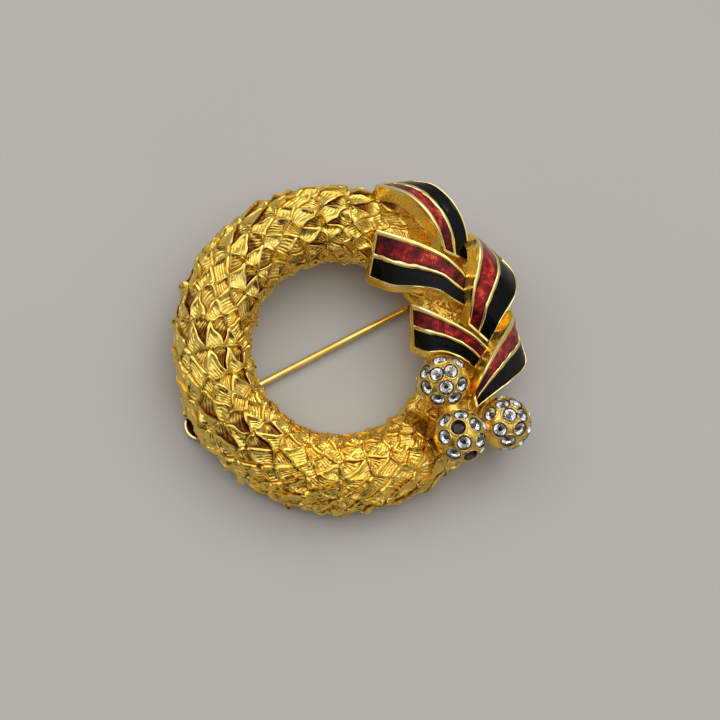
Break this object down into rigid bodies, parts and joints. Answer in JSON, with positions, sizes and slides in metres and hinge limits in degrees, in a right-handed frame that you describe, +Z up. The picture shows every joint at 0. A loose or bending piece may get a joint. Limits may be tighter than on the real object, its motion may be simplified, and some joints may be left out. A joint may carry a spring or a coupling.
{
  "type": "wreath brooch",
  "caption": "Gold-plated wreath brooch: scaly ring with an enamelled ribbon plait, stone-set balls and a hinged pin behind.",
  "frame": {"origin": "middle of the bounding box, on the surface that the brooch lies on", "axes": "+Z up from that surface, out of the brooch's front; +X towards the ribbon plait and the balls"},
  "size_m": [0.0518, 0.0486, 0.014],
  "materials": {
    "gold_cast": "bright gold plate on carved, striated casting",
    "gold_polished": "polished gold plate",
    "gold_wire": "smooth gold-plated wire",
    "enamel_red": "translucent red enamel over ribbed metal",
    "enamel_black": "glossy opaque black enamel",
    "crystal": "clear cut glass"
  },
  "bodies": {
    "brooch": {"wreath_ring": "gold_cast", "ribbon_1": "gold_polished", "ribbon_2": "gold_polished", "ribbon_3": "gold_polished", "ribbon_4": "gold_polished", "ribbon_5": "gold_polished", "enamel_red_1": "enamel_red", "enamel_red_2": "enamel_red", "enamel_red_3": "enamel_red", "enamel_red_4": "enamel_red", "enamel_red_5": "enamel_red", "enamel_black_1": "enamel_black", "enamel_black_2": "enamel_black", "enamel_black_3": "enamel_black", "enamel_black_4": "enamel_black", "enamel_black_5": "enamel_black", "ball_cluster": "gold_polished", "stones_upper": "crystal", "stones_lower": "crystal", "stones_outer": "crystal", "pin_hinge": "gold_polished", "hinge_rivet": "gold_wire", "pin_catch": "gold_polished"},
    "stem": {"pin_stem": "gold_wire"}
  },
  "joints": [
    {"name": "pin_hinge_turn", "type": "hinge", "parent": "brooch", "child": "stem", "pos_m": [-0.01953, -0.00825, 0.00098], "axis": [-0.4669, 0.8783, 0.1033], "range_deg": [0, 75]}
  ]
}
